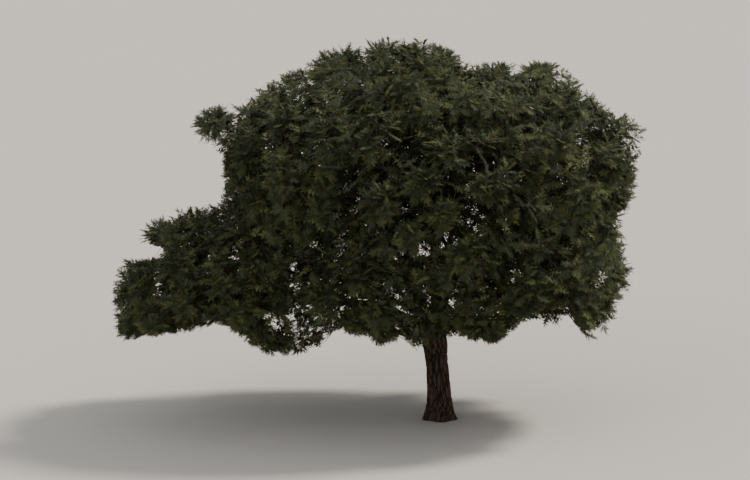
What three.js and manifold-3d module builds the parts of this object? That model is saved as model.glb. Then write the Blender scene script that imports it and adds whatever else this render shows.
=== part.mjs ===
// An old acacia standing alone on open desert sand: one short trunk that forks high, boughs that
// arch out from the fork, and a dense domed crown, browsed off underneath, that spreads much
// further to the left of its trunk than to the right.
// Units are millimetres. +Z is up, +Y points away from the viewer and +X to the right, and the
// origin is the middle of the trunk's flat foot, at ground level.
import * as THREE from "three";
import { mergeVertices } from "three/addons/utils/BufferGeometryUtils.js";
import Module from "manifold-3d";

const wasm = await Module();
wasm.setup();

// The trunk, from the ground to its fork: its line, its taper, the lobed root flare, and the
// swelling under the fork. Shares are of its height, counted up from the ground.
const TRUNK_HEIGHT = 3150;
const TRUNK_LEAN = 260;
const TRUNK_SWAY = 100;
const TRUNK_RADIUS = 390;
const TRUNK_TAPER = 30;
const TRUNK_SIDES = 18;
const TRUNK_RINGS = 12;
const FLARE = 190;
const FLARE_HEIGHT = 380;
const FLARE_LOBES = 5;
const FLARE_TURN = 1;
const FLARE_LOBE_SHARE = 0.35;
const FORK_SWELL = 55;
const FORK_SHARE = 0.82;
const FORK_SPAN = 0.12;
const SHOULDER_SHARE = 0.86;
const SHOULDER_ROUNDING = 90;

// The boughs. Each kind has the share of its parent's length at which it leaves, its radius there
// and how steeply it starts, in radians above level. Wander is a share of a bough's length.
const leader = { share: 0.93, radius: 205, rise: 1.1 };
const spreader = { share: 0.84, radius: 175, rise: 0.75 };
const shoulderBoughs = [
  { share: 0.3, radius: 120, rise: 0.8 },
  { share: 0.42, radius: 115, rise: 0.8 },
];
const sideBough = { share: 0.3, radius: 110, rise: 0.5 };
const BOUGH_TIP_RADIUS = 55;
const BOUGH_TAPER_POWER = 0.8;
const BOUGH_SIDES = 6;
const BOUGH_RINGS = 6;
const BOUGH_WANDER = 0.022;
const WANDER_WAVES = [1.3, 1.9];
const START_PULL = 0.42;
const END_PULL = 0.3;

// The crown's outline: a tall dome over the trunk and a low lobe that hangs out to the left, each
// squarer than an ellipsoid. The dome's top falls away to the right of FALL_X, by a share of the
// distance, and stands higher or lower than that in a few spots. Clumps stand out at its
// shoulders and at the lobe's low left corner. The outline creases inwards where two masses meet.
const CROWN_POWER = 2.8;
const dome = { middle: new THREE.Vector3(-350, 0, 6900), half: new THREE.Vector3(7000, 6600, 5500) };
const lobe = { middle: new THREE.Vector3(-5500, 0, 3900), half: new THREE.Vector3(5150, 4900, 3250) };
const FALL_X = -1800;
const FALL_SHARE = 0.12;
const crestSpots = [
  { x: -4600, width: 600, rise: -350 },
  { x: -800, width: 800, rise: 350 },
  { x: 1300, width: 900, rise: -470 },
  { x: 4100, width: 800, rise: 600 },
];
const clumps = [
  { middle: new THREE.Vector3(-6800, -1400, 9780), half: new THREE.Vector3(1400, 1600, 820) },
  { middle: new THREE.Vector3(5350, -1500, 9400), half: new THREE.Vector3(1400, 1600, 1000) },
  { middle: new THREE.Vector3(-9750, -1300, 3450), half: new THREE.Vector3(800, 1300, 650) },
];
const CREASE_DEPTH = 0.055;
const CREASE_WIDTH = 900;

// Two waists in the dome's right end and a notch in the lobe's left end. All run right through
// the crown from front to back, and fall on the way by a share of the distance, SIDE_SLOPE. Their
// heights are those at the trunk.
const SIDE_SLOPE = 0.21;
const waists = [
  { height: 6350, width: 750, depth: 600 },
  { height: 3650, width: 350, depth: 350 },
];
const notch = { x: -9700, height: 5520, halfX: 830, halfHeight: 250 };

// The lower edge of the crown: level where animals browse it, and higher towards the front and the
// back. Along the front it is eaten out higher in some places and hangs lower in others.
const BROWSE_LINE = 2800;
const BROWSE_RISE = 0.15;
const browsedSpots = [
  { x: 3400, width: 1050, rise: 900 },
  { x: 5150, width: 550, rise: -1050 },
  { x: 1700, width: 550, rise: -350 },
  { x: -700, width: 350, rise: -350 },
  { x: -1900, width: 350, rise: -400 },
  { x: -3300, width: 500, rise: 400 },
  { x: -4900, width: 1350, rise: -680 },
  { x: -7100, width: 600, rise: 450 },
  { x: -10200, width: 500, rise: -300 },
];

// The bare inside of the crown, where the boughs run: an ellipsoid's middle and half sizes.
const HOLLOW_MIDDLE = new THREE.Vector3(-1300, 0, 3900);
const HOLLOW_HALF = new THREE.Vector3(4300, 2500, 4300);

// The three tiers of the crown. Each is a ring of masses, whose hearts stand near an ellipse seen
// from above, named from its middle and half sizes. Its turn is the angle of its first mass.
const tiers = [
  { name: "skirt", count: 8, turn: 0, middleX: -2250, wide: 5750, deep: 3900, height: 4750 },
  { name: "shoulder", count: 6, turn: 0.52, middleX: -400, wide: 4350, deep: 3700, height: 7900 },
  { name: "crest", count: 3, turn: 0.7, middleX: -400, wide: 2100, deep: 1800, height: 10200 },
];
const HEART_SCATTER = 350;
const ASIDE = 0.4;

// The twigs and the sprays of leaves, and the core that they stand out of. On a tree this large
// one flat blade stands for a whole spray. Places are shares of the way from a mass's heart to the
// edge of its space. How far out the core fills that space depends on what lies past the edge.
const TWIG_WAYS = 26;
const TWIG_SIDES = 3;
const TWIG_ROOT_RADIUS = 42;
const TWIG_TIP_RADIUS = 20;
const TWIG_REACH = 0.86;
const STEM_TIP_RADIUS = 45;
const TIP_SPRAY_PLACE = 0.68;
const SIDE_SPRAY_PLACES = [0.76, 0.8, 0.84];
const SIDE_SPRAY_LENGTH = 1600;
const SIDE_SPRAY_TRIES = [1, 0.8, 0.6];
const SIDE_SPRAY_SPLAY = 1.2;
const SPRAY_VARIATION = 0.15;
const SPRAY_WIDTH_SHARE = 0.58;
const SPRAY_THICKNESS = 110;
const SKYLIGHT = new THREE.Vector3(0.2, -0.3, 1);
const SKYLIGHT_SHARE = 0.6;
const CORE_SHARES = { open: 0.76, neighbour: 0.98, hollow: 0.86, limb: 0.8 };
const CORE_ROUGHNESS = 0.06;
const CORE_DETAIL = 2;

// Gaps: between touching solids, between the spaces of two masses, from foliage to a limb that it
// doesn't grow from, and how much wider than itself a limb is cut out of what grows on it.
const JOINT_GAP = 0.35;
const SPACE_GAP = 60;
const LIMB_CLEARANCE = 110;
const CUT_GAP = 0.45;

// How finely a mass's space is felt out from its heart, how many points of a limb to each of its
// rings are kept clear of foliage, and how near two corners of a mesh are when they are one.
const REACH_STEP = 60;
const SAMPLES_A_RING = 3;
const SAME_CORNER = 1e-3;

// Looks.
const bark = new THREE.MeshStandardMaterial({
  color: 0x4a3a2c,
  roughness: 0.95,
  metalness: 0,
});
const foliage = new THREE.MeshStandardMaterial({
  color: 0x2b3a22,
  roughness: 0.8,
  metalness: 0,
});

const UP = new THREE.Vector3(0, 0, 1);
const FULL_TURN = 2 * Math.PI;
const GOLDEN_TURN = Math.PI * (3 - Math.sqrt(5));

// The same even random numbers from 0 to 1 on every run.
function seeded(seed) {
  let state = Math.imul(seed + 1, 2654435761) >>> 0;
  return () => {
    state = (Math.imul(state, 1664525) + 1013904223) >>> 0;
    return state / 2 ** 32;
  };
}

// A closed geometry as a solid that can be joined and cut.
function solidOf(geometry) {
  const bare = geometry.clone();
  bare.deleteAttribute("normal");
  bare.deleteAttribute("uv");
  const merged = mergeVertices(bare, SAME_CORNER);
  return new wasm.Manifold(
    new wasm.Mesh({
      numProp: 3,
      vertProperties: merged.attributes.position.array,
      triVerts: new Uint32Array(merged.index.array),
    }),
  );
}

// A solid's largest piece as a mesh's geometry; loose scraps from cutting are dropped.
function geometryOf(solid) {
  const pieces = solid.decompose();
  pieces.sort((a, b) => b.volume() - a.volume());
  const mesh = pieces[0].getMesh();
  return new THREE.BufferGeometry()
    .setAttribute("position", new THREE.BufferAttribute(mesh.vertProperties, mesh.numProp))
    .setIndex(new THREE.BufferAttribute(mesh.triVerts, 1));
}

// A tapering tube along a path, with a flat end each side. Its rings are square to the path, or
// level when the limb is upright, so that the trunk's foot is a level cut.
function limbSolid(path, radiusAt, sides, rings, upright = false) {
  const frames = path.computeFrenetFrames(rings, false);
  const positions = [];
  const faces = [];
  for (let ring = 0; ring <= rings; ring++) {
    const along = ring / rings;
    const centre = path.getPointAt(along);
    const across = upright ? new THREE.Vector3(1, 0, 0) : frames.normals[ring];
    const aside = upright ? new THREE.Vector3(0, 1, 0) : frames.binormals[ring];
    for (let side = 0; side < sides; side++) {
      const turn = (side / sides) * FULL_TURN;
      const radius = radiusAt(along, turn);
      const point = centre
        .clone()
        .addScaledVector(across, Math.cos(turn) * radius)
        .addScaledVector(aside, Math.sin(turn) * radius);
      positions.push(point.x, point.y, point.z);
    }
  }
  for (let ring = 0; ring < rings; ring++) {
    for (let side = 0; side < sides; side++) {
      const a = ring * sides + side;
      const b = ring * sides + ((side + 1) % sides);
      faces.push(a, b, a + sides, b, b + sides, a + sides);
    }
  }
  const last = rings * sides;
  for (let side = 1; side < sides - 1; side++) {
    faces.push(0, side + 1, side, last, last + side, last + side + 1);
  }
  const geometry = new THREE.BufferGeometry()
    .setAttribute("position", new THREE.Float32BufferAttribute(positions, 3))
    .setIndex(faces);
  return solidOf(geometry);
}

// A bough's line: an arc that leaves its parent one way and arrives at its tip another, with a
// slow seeded wander to either side that dies out at both ends.
class BoughLine extends THREE.Curve {
  constructor(start, startWay, tip, tipWay, random) {
    super();
    const span = start.distanceTo(tip);
    this.arc = new THREE.CubicBezierCurve3(
      start,
      start.clone().addScaledVector(startWay, span * START_PULL),
      tip.clone().addScaledVector(tipWay, -span * END_PULL),
      tip,
    );
    const along = tip.clone().sub(start).normalize();
    this.sideways = new THREE.Vector3().crossVectors(along, UP).normalize();
    this.upwards = new THREE.Vector3().crossVectors(this.sideways, along);
    this.stray = span * BOUGH_WANDER;
    this.phases = [random() * FULL_TURN, random() * FULL_TURN];
  }

  getPoint(t, target = new THREE.Vector3()) {
    const fade = Math.sin(Math.PI * t) ** 2 * this.stray;
    const [first, second] = this.phases;
    this.arc.getPoint(t, target);
    const [firstWave, secondWave] = WANDER_WAVES;
    target.addScaledVector(this.sideways, fade * Math.sin(FULL_TURN * firstWave * t + first));
    target.addScaledVector(this.upwards, fade * Math.sin(FULL_TURN * secondWave * t + second));
    return target;
  }
}

// The trunk's line: upright at the foot, leaning a little to the left at the fork.
class TrunkLine extends THREE.Curve {
  getPoint(t, target = new THREE.Vector3()) {
    const back = TRUNK_SWAY * Math.sin(Math.PI * t) * t;
    return target.set(-TRUNK_LEAN * t * t, back, TRUNK_HEIGHT * t);
  }
}

// The trunk's radius: a root flare with lobes that dies out above the ground, a slow taper, a
// swelling under the fork, and a rounded shoulder at the top.
function trunkRadius(along, turn) {
  const lobes = 1 + FLARE_LOBE_SHARE * Math.cos(FLARE_LOBES * turn + FLARE_TURN);
  const flare = FLARE * lobes * Math.exp((-along * TRUNK_HEIGHT) / FLARE_HEIGHT);
  const swell = FORK_SWELL * Math.exp(-(((along - FORK_SHARE) / FORK_SPAN) ** 2));
  const rounding = SHOULDER_ROUNDING * THREE.MathUtils.smoothstep(along, SHOULDER_SHARE, 1);
  return TRUNK_RADIUS - TRUNK_TAPER * along + flare + swell - rounding;
}

// A side of the tree in words, from an angle seen from above, with 0 to the right. What is less
// than ASIDE off the middle, as a share of the way out, isn't named on that axis.
function sideName(angle) {
  const word = (value, high, low) => (value > ASIDE ? high : value < -ASIDE ? low : "");
  const words = [word(Math.sin(angle), "back", "front"), word(Math.cos(angle), "right", "left")];
  return words.filter(Boolean).join("_");
}

// Every mass of the crown, with its name, its heart and its own random numbers.
function layOutMasses() {
  const masses = [];
  for (const tier of tiers) {
    for (let place = 0; place < tier.count; place++) {
      const angle = tier.turn + (place / tier.count) * FULL_TURN;
      const random = seeded(masses.length);
      const scatter = () => HEART_SCATTER * (2 * random() - 1);
      const x = tier.middleX + tier.wide * Math.cos(angle) + scatter();
      const y = tier.deep * Math.sin(angle) + scatter();
      const heart = new THREE.Vector3(x, y, tier.height + scatter());
      masses.push({
        name: tier.name + "_" + sideName(angle),
        tier: tier.name,
        place,
        heart,
        random,
      });
    }
  }
  return masses;
}

const masses = layOutMasses();
const limbs = [];

// How far out a point lies in a rounded form: 0 in its middle and 1 on its surface.
function levelIn(middle, half, power, point) {
  const shares = point.clone().sub(middle).divide(half);
  return (
    (Math.abs(shares.x) ** power + Math.abs(shares.y) ** power + Math.abs(shares.z) ** power) **
    (1 / power)
  );
}

// How much some spots raise or lower an outline at a place along X, in all.
function riseAt(spots, x) {
  return spots.reduce((sum, s) => sum + s.rise * Math.exp(-(((x - s.x) / s.width) ** 2)), 0);
}

// How far out a point lies in the crown: 0 in the middle of a form, 1 on the crown's surface, and
// endlessly far in the notch.
function crownLevel(point) {
  const height = point.z + SIDE_SLOPE * point.y;
  const notchPlace = [(point.x - notch.x) / notch.halfX, (height - notch.height) / notch.halfHeight];
  if (Math.hypot(...notchPlace) < 1) {
    return Infinity;
  }
  const domeHalf = dome.half.clone();
  if (point.x > dome.middle.x) {
    for (const waist of waists) {
      domeHalf.x -= waist.depth * Math.exp(-(((height - waist.height) / waist.width) ** 2));
    }
  }
  if (point.z > dome.middle.z) {
    domeHalf.z += riseAt(crestSpots, point.x) - FALL_SHARE * Math.max(point.x - FALL_X, 0);
  }
  return Math.min(
    levelIn(dome.middle, domeHalf, CROWN_POWER, point),
    levelIn(lobe.middle, lobe.half, CROWN_POWER, point),
    ...clumps.map((clump) => levelIn(clump.middle, clump.half, 2, point)),
  );
}

// The height of the crown's lower edge.
function browseHeight(x, y) {
  return BROWSE_LINE + BROWSE_RISE * Math.abs(y) + (y < 0 ? riseAt(browsedSpots, x) : 0);
}

// What a point is to a mass: its own space, a neighbour's, the hollow, or the open air. Its own
// space is what lies nearer to its heart than to another's, inside the creased outline.
function placeOf(mass, point) {
  const own = mass.heart.distanceTo(point);
  const others = masses.filter((other) => other !== mass);
  const margin = Math.min(...others.map((other) => other.heart.distanceTo(point))) - own;
  const outline = 1 - CREASE_DEPTH * Math.exp(-Math.max(margin, 0) / CREASE_WIDTH);
  if (crownLevel(point) > outline || point.z < browseHeight(point.x, point.y)) {
    return "open";
  }
  if (margin < SPACE_GAP) {
    return "neighbour";
  }
  return levelIn(HOLLOW_MIDDLE, HOLLOW_HALF, 2, point) < 1 ? "hollow" : "own";
}

// Whether a point keeps its clearance from every limb.
function clearOfLimbs(point) {
  return limbs.every((limb) =>
    limb.samples.every((s) => s.centre.distanceTo(point) > s.radius + LIMB_CLEARANCE),
  );
}

// The distance from a mass's heart, one way, to the edge of its space or to a limb in the way,
// and what lies past that edge.
function reach(mass, way) {
  const point = new THREE.Vector3();
  let distance = 0;
  let edge = "own";
  while (edge === "own") {
    distance += REACH_STEP;
    point.copy(mass.heart).addScaledVector(way, distance);
    edge = placeOf(mass, point);
    if (edge === "own" && !clearOfLimbs(point)) {
      edge = "limb";
    }
  }
  return { distance: distance - REACH_STEP, edge };
}

// Adds a bough that leaves a point of its parent and ends where it enters its mass. It is cut
// clear of every limb that is already there, so that its root sits on its parent like a saddle.
function addBough(mass, parent, kind) {
  const start = parent.path.getPointAt(kind.share);
  const inward = start.clone().sub(mass.heart).normalize();
  const tip = mass.heart.clone().addScaledVector(inward, reach(mass, inward).distance);
  const outward = tip.clone().sub(start).setZ(0).normalize();
  const startWay = outward
    .multiplyScalar(Math.cos(kind.rise))
    .addScaledVector(UP, Math.sin(kind.rise));
  const tipWay = mass.heart.clone().sub(tip).normalize();
  const path = new BoughLine(start, startWay, tip, tipWay, mass.random);
  const radiusAt = (along) =>
    kind.radius + (BOUGH_TIP_RADIUS - kind.radius) * along ** BOUGH_TAPER_POWER;
  let solid = limbSolid(path, radiusAt, BOUGH_SIDES, BOUGH_RINGS);
  for (const limb of limbs) {
    solid = solid.subtract(limb.larger);
  }
  mass.bough = addLimb("bough_" + mass.name, path, radiusAt, BOUGH_SIDES, BOUGH_RINGS, solid);
  mass.tip = tip;
  mass.tipWay = tipWay;
}

// Keeps a limb with what later pieces need of it: where it runs, and its solid a little wider.
function addLimb(name, path, radiusAt, sides, rings, solid, upright = false) {
  const samples = [];
  const steps = SAMPLES_A_RING * rings;
  for (let i = 0; i <= steps; i++) {
    const along = i / steps;
    samples.push({ centre: path.getPointAt(along), radius: radiusAt(along, 0) });
  }
  const wider = (along, turn) => radiusAt(along, turn) + CUT_GAP;
  const limb = { name, path, samples, solid, larger: limbSolid(path, wider, sides, rings, upright) };
  limbs.push(limb);
  return limb;
}

// The masses of one tier, in the order that they stand round it.
function tierMasses(name) {
  return masses.filter((mass) => mass.tier === name);
}

// The limbs: three leaders climb from the fork to the crest, and each bears two boughs of the
// shoulder; four boughs spread from under the fork to the skirt, and each bears one more.
function growLimbs() {
  const line = new TrunkLine();
  const solid = limbSolid(line, trunkRadius, TRUNK_SIDES, TRUNK_RINGS, true);
  const trunk = addLimb("trunk", line, trunkRadius, TRUNK_SIDES, TRUNK_RINGS, solid, true);
  const leaders = tierMasses("crest");
  const skirt = tierMasses("skirt");
  leaders.forEach((mass) => addBough(mass, trunk, leader));
  skirt.filter((mass) => mass.place % 2 === 0).forEach((mass) => addBough(mass, trunk, spreader));
  for (const mass of tierMasses("shoulder")) {
    const parent = leaders[Math.floor(mass.place / 2)].bough;
    addBough(mass, parent, shoulderBoughs[mass.place % 2]);
  }
  for (const mass of skirt.filter((mass) => mass.place % 2 === 1)) {
    addBough(mass, skirt[mass.place - 1].bough, sideBough);
  }
}

// One flat spray of leaves as a solid blade: a stretched octahedron, eight faces, whose root is
// sunk into its twig and whose flat side faces the light as nearly as its way allows. There is
// none where a corner of it would leave the mass's space or touch a limb.
function spraySolid(mass, root, way, length, light) {
  const across = new THREE.Vector3().crossVectors(light, way).normalize();
  const facing = new THREE.Vector3().crossVectors(way, across);
  const width = SPRAY_WIDTH_SHARE * length;
  const middle = root.clone().addScaledVector(way, length / 2);
  const corners = [
    root.clone().addScaledVector(way, length),
    middle.clone().addScaledVector(across, width / 2),
    middle.clone().addScaledVector(across, -width / 2),
  ];
  if (!corners.every((corner) => placeOf(mass, corner) === "own" && clearOfLimbs(corner))) {
    return null;
  }
  const place = new THREE.Matrix4().makeBasis(way, across, facing).setPosition(root);
  const geometry = new THREE.OctahedronGeometry(0.5)
    .scale(length, width, SPRAY_THICKNESS)
    .translate(length / 2, 0, 0)
    .applyMatrix4(place);
  return solidOf(geometry);
}

// The sprays of one twig: one that carries it on to the edge of the mass's space, and others that
// splay out round it, shorter if need be. A side spray that fits at no length is left out.
function twigSprays(mass, way, room) {
  const along = (share) => mass.heart.clone().addScaledVector(way, room * share);
  const tipLength = room * (1 - TIP_SPRAY_PLACE);
  const sprays = [spraySolid(mass, along(TIP_SPRAY_PLACE), way, tipLength, SKYLIGHT)];
  const aside = new THREE.Vector3().crossVectors(way, UP).normalize();
  const above = new THREE.Vector3().crossVectors(aside, way);
  const light = way.clone().addScaledVector(SKYLIGHT, SKYLIGHT_SHARE);
  const varied = () => 1 + SPRAY_VARIATION * (2 * mass.random() - 1);
  const firstRound = mass.random() * FULL_TURN;
  SIDE_SPRAY_PLACES.forEach((place, i) => {
    const round = firstRound + (i / SIDE_SPRAY_PLACES.length) * FULL_TURN;
    const splay = SIDE_SPRAY_SPLAY * varied();
    const size = SIDE_SPRAY_LENGTH * varied();
    const sprayWay = way
      .clone()
      .multiplyScalar(Math.cos(splay))
      .addScaledVector(aside, Math.sin(splay) * Math.cos(round))
      .addScaledVector(above, Math.sin(splay) * Math.sin(round));
    const root = along(place).addScaledVector(sprayWay, -TWIG_TIP_RADIUS);
    const tries = SIDE_SPRAY_TRIES.map((s) => spraySolid(mass, root, sprayWay, size * s, light));
    sprays.push(tries.find(Boolean));
  });
  return sprays.filter(Boolean);
}

// The core of a dense mass: a rough ball that fills a share of the mass's space.
function coreSolid(mass) {
  const geometry = new THREE.IcosahedronGeometry(1, CORE_DETAIL);
  geometry.deleteAttribute("normal");
  geometry.deleteAttribute("uv");
  const core = mergeVertices(geometry, SAME_CORNER);
  const corners = core.attributes.position;
  const way = new THREE.Vector3();
  for (let i = 0; i < corners.count; i++) {
    way.fromBufferAttribute(corners, i).normalize();
    const { distance, edge } = reach(mass, way);
    const rough = edge === "open" ? CORE_ROUGHNESS * (2 * mass.random() - 1) : 0;
    const room = distance * (CORE_SHARES[edge] + rough);
    const corner = mass.heart.clone().addScaledVector(way, room);
    corners.setXYZ(i, corner.x, corner.y, corner.z);
  }
  return solidOf(core);
}

// The ways that a mass's twigs may take: evenly spread ones, and one to the middle of each clump
// that is nearer to its heart than to another's.
function twigWays(mass) {
  const turnBy = mass.random() * FULL_TURN;
  const ways = [];
  for (let i = 0; i < TWIG_WAYS; i++) {
    const z = 1 - (2 * i + 1) / TWIG_WAYS;
    const flat = Math.sqrt(1 - z * z);
    const turn = i * GOLDEN_TURN + turnBy;
    ways.push(new THREE.Vector3(flat * Math.cos(turn), flat * Math.sin(turn), z));
  }
  for (const { middle } of clumps) {
    const near = masses.reduce((a, b) => (b.heart.distanceTo(middle) < a.heart.distanceTo(middle) ? b : a));
    if (near === mass) {
      ways.push(middle.clone().sub(mass.heart).normalize());
    }
  }
  return ways;
}

// One mass of foliage: a stem from its bough's tip to its heart, twigs from the heart that reach
// for the open air, the sprays on them, and the core, all fused.
function massSolid(mass) {
  const foot = mass.tip.clone().addScaledVector(mass.tipWay, JOINT_GAP);
  const stemLine = new THREE.LineCurve3(foot, mass.heart);
  const stemRadius = (along) => BOUGH_TIP_RADIUS + (STEM_TIP_RADIUS - BOUGH_TIP_RADIUS) * along;
  const twigRadius = (along) => TWIG_ROOT_RADIUS + (TWIG_TIP_RADIUS - TWIG_ROOT_RADIUS) * along;
  const pieces = [coreSolid(mass), limbSolid(stemLine, stemRadius, BOUGH_SIDES, 1)];
  for (const way of twigWays(mass)) {
    const { distance, edge } = reach(mass, way);
    if (edge === "open") {
      const tip = mass.heart.clone().addScaledVector(way, distance * TWIG_REACH);
      const line = new THREE.LineCurve3(mass.heart, tip);
      pieces.push(limbSolid(line, twigRadius, TWIG_SIDES, 1));
      pieces.push(...twigSprays(mass, way, distance));
    }
  }
  return wasm.Manifold.union(pieces);
}

// The tree, one mesh to each sub-part.
function part(name, solid, material) {
  const mesh = new THREE.Mesh(geometryOf(solid), material);
  mesh.name = name;
  return mesh;
}

growLimbs();
const acacia = new THREE.Group();
for (const limb of limbs) {
  acacia.add(part(limb.name, limb.solid, bark));
}
for (const mass of masses) {
  acacia.add(part("foliage_" + mass.name, massSolid(mass), foliage));
}

export default acacia;
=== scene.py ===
import math
from types import SimpleNamespace

import bmesh
import bpy
import numpy as np
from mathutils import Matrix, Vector, noise


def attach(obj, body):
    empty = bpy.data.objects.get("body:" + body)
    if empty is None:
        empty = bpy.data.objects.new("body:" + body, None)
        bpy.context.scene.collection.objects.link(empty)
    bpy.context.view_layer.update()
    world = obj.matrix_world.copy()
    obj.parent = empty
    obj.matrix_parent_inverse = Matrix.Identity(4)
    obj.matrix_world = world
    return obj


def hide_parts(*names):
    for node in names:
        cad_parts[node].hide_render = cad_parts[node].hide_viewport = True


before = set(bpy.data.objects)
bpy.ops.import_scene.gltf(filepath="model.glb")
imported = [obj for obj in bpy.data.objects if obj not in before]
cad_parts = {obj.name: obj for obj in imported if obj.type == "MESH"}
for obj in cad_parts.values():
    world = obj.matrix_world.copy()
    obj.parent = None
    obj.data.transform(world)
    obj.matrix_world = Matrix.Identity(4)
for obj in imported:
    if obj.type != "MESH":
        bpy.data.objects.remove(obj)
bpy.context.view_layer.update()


# The crown's plan. A real acacia bears its leaves in separate masses, each fed by one bough, which
# fill one domed outline between them and leave its inside bare. Animals browse its underside flat.
# Nothing is made here: this says where each mass has its heart, and how far it may grow.
TIERS = (
    SimpleNamespace(name="skirt", count=8, turn=0, middle_x=-2.25, wide=5.75, deep=3.9, height=4.75),
    SimpleNamespace(name="shoulder", count=6, turn=0.52, middle_x=-0.4, wide=4.35, deep=3.7, height=7.9),
    SimpleNamespace(name="crest", count=3, turn=0.7, middle_x=-0.4, wide=2.1, deep=1.8, height=10.2),
)
HEART_SCATTER = 0.35
ASIDE = 0.4
DOME = SimpleNamespace(middle=np.array([-0.35, 0, 6.9]), half=np.array([7.0, 6.6, 5.5]))
LOBE = SimpleNamespace(middle=np.array([-5.5, 0, 3.9]), half=np.array([5.15, 4.9, 3.25]))
FALL_X = -1.8
FALL_SHARE = 0.12
CREST_SPOTS = (
    SimpleNamespace(x=-4.6, width=0.6, rise=-0.35),
    SimpleNamespace(x=-0.8, width=0.8, rise=0.35),
    SimpleNamespace(x=1.3, width=0.9, rise=-0.47),
    SimpleNamespace(x=4.1, width=0.8, rise=0.6),
)
CLUMPS = (
    SimpleNamespace(middle=np.array([-6.8, -1.4, 9.78]), half=np.array([1.4, 1.6, 0.82])),
    SimpleNamespace(middle=np.array([5.35, -1.5, 9.4]), half=np.array([1.4, 1.6, 1.0])),
    SimpleNamespace(middle=np.array([-9.75, -1.3, 3.45]), half=np.array([0.8, 1.3, 0.65])),
)
SIDE_SLOPE = 0.21
WAISTS = (
    SimpleNamespace(height=6.35, width=0.75, depth=0.6),
    SimpleNamespace(height=3.65, width=0.35, depth=0.35),
)
NOTCH = SimpleNamespace(x=-9.7, height=5.52, half_x=0.83, half_height=0.25)
CROWN_POWER = 2.8
CREASE_DEPTH = 0.055
CREASE_WIDTH = 0.9
BROWSE_LINE = 2.8
BROWSE_RISE = 0.15
BROWSED_SPOTS = (
    SimpleNamespace(x=3.4, width=1.05, rise=0.9),
    SimpleNamespace(x=5.15, width=0.55, rise=-1.05),
    SimpleNamespace(x=1.7, width=0.55, rise=-0.35),
    SimpleNamespace(x=-0.7, width=0.35, rise=-0.35),
    SimpleNamespace(x=-1.9, width=0.35, rise=-0.4),
    SimpleNamespace(x=-3.3, width=0.5, rise=0.4),
    SimpleNamespace(x=-4.9, width=1.35, rise=-0.68),
    SimpleNamespace(x=-7.1, width=0.6, rise=0.45),
    SimpleNamespace(x=-10.2, width=0.5, rise=-0.3),
)
HOLLOW_MIDDLE = np.array([-1.3, 0, 3.9])
HOLLOW_HALF = np.array([4.3, 2.5, 4.3])
SPACE_GAP = 0.06
LIMB_CLEARANCE = 0.11
REACH_STEP = 0.06
GOLDEN_TURN = math.pi * (3 - math.sqrt(5))
FULL_TURN = 2 * math.pi
UP = np.array([0.0, 0.0, 1.0])
TINY = 1e-9
NUDGE = 1e-4
SEED_STRIDE = 2654435761
CHANCE_FACTOR = 1664525
CHANCE_STEP = 1013904223
CHANCE_RANGE = 2**32
OWN, OPEN, NEIGHBOUR, HOLLOW, LIMB = range(5)


def seeded(seed):
    """The same even random numbers from 0 to 1 on every run, as the solids have them."""
    state = (seed + 1) * SEED_STRIDE % CHANCE_RANGE
    while True:
        state = (state * CHANCE_FACTOR + CHANCE_STEP) % CHANCE_RANGE
        yield state / CHANCE_RANGE


def unit(vectors):
    """The same ways, each one metre long."""
    return vectors / np.maximum(np.linalg.norm(vectors, axis=-1, keepdims=True), TINY)


def side_name(angle):
    """A side of the tree in words, from an angle seen from above, with 0 to the right."""
    words = []
    for value, high, low in ((math.sin(angle), "back", "front"), (math.cos(angle), "right", "left")):
        if abs(value) > ASIDE:
            words.append(high if value > 0 else low)
    return "_".join(words)


def lay_out_masses():
    """Every mass of the crown, with its name, its heart and its own random numbers."""
    laid = []
    for tier in TIERS:
        for place in range(tier.count):
            angle = tier.turn + place / tier.count * FULL_TURN
            chance = seeded(len(laid))
            scatter = [HEART_SCATTER * (2 * next(chance) - 1) for _ in range(3)]
            x = tier.middle_x + tier.wide * math.cos(angle)
            y = tier.deep * math.sin(angle)
            laid.append(SimpleNamespace(
                name=tier.name + "_" + side_name(angle),
                tier=tier.name,
                place=place,
                number=len(laid),
                chance=chance,
                heart=np.array([x, y, tier.height]) + scatter,
            ))
    return laid


masses = lay_out_masses()
hearts = np.array([mass.heart for mass in masses])
limbs = []


def level_in(middle, half, power, points):
    """How far out each point lies in a rounded form: 0 in its middle and 1 on its surface."""
    return (np.abs((points - middle) / half) ** power).sum(axis=1) ** (1 / power)


def clump_level(points):
    """How far out each point lies in the clump of the outline that it is deepest in."""
    return np.min([level_in(clump.middle, clump.half, 2, points) for clump in CLUMPS], axis=0)


def rise_at(spots, x):
    """How much some spots raise or lower an outline at places along X, in all."""
    return sum(spot.rise * np.exp(-((x - spot.x) / spot.width) ** 2) for spot in spots)


def crown_level(points):
    """How far out each point lies in the crown: the dome, which falls away to the right, stands
    higher or lower in some spots and has two waists at its right end, the lobe with a notch in its
    left end, and the clumps that stand out at the shoulders and the lobe's low corner."""
    x, y, z = points.T
    height = z + SIDE_SLOPE * y
    uneven = rise_at(CREST_SPOTS, x) - FALL_SHARE * np.maximum(x - FALL_X, 0)
    waist = sum(w.depth * np.exp(-((height - w.height) / w.width) ** 2) for w in WAISTS)
    dome_half = np.repeat(DOME.half[None], len(points), axis=0)
    dome_half[:, 0] -= np.where(x > DOME.middle[0], waist, 0)
    dome_half[:, 2] += np.where(z > DOME.middle[2], uneven, 0)
    levels = [
        level_in(DOME.middle, dome_half, CROWN_POWER, points),
        level_in(LOBE.middle, LOBE.half, CROWN_POWER, points),
        clump_level(points),
    ]
    notched = np.hypot((x - NOTCH.x) / NOTCH.half_x, (height - NOTCH.height) / NOTCH.half_height) < 1
    return np.where(notched, np.inf, np.min(levels, axis=0))


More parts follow.
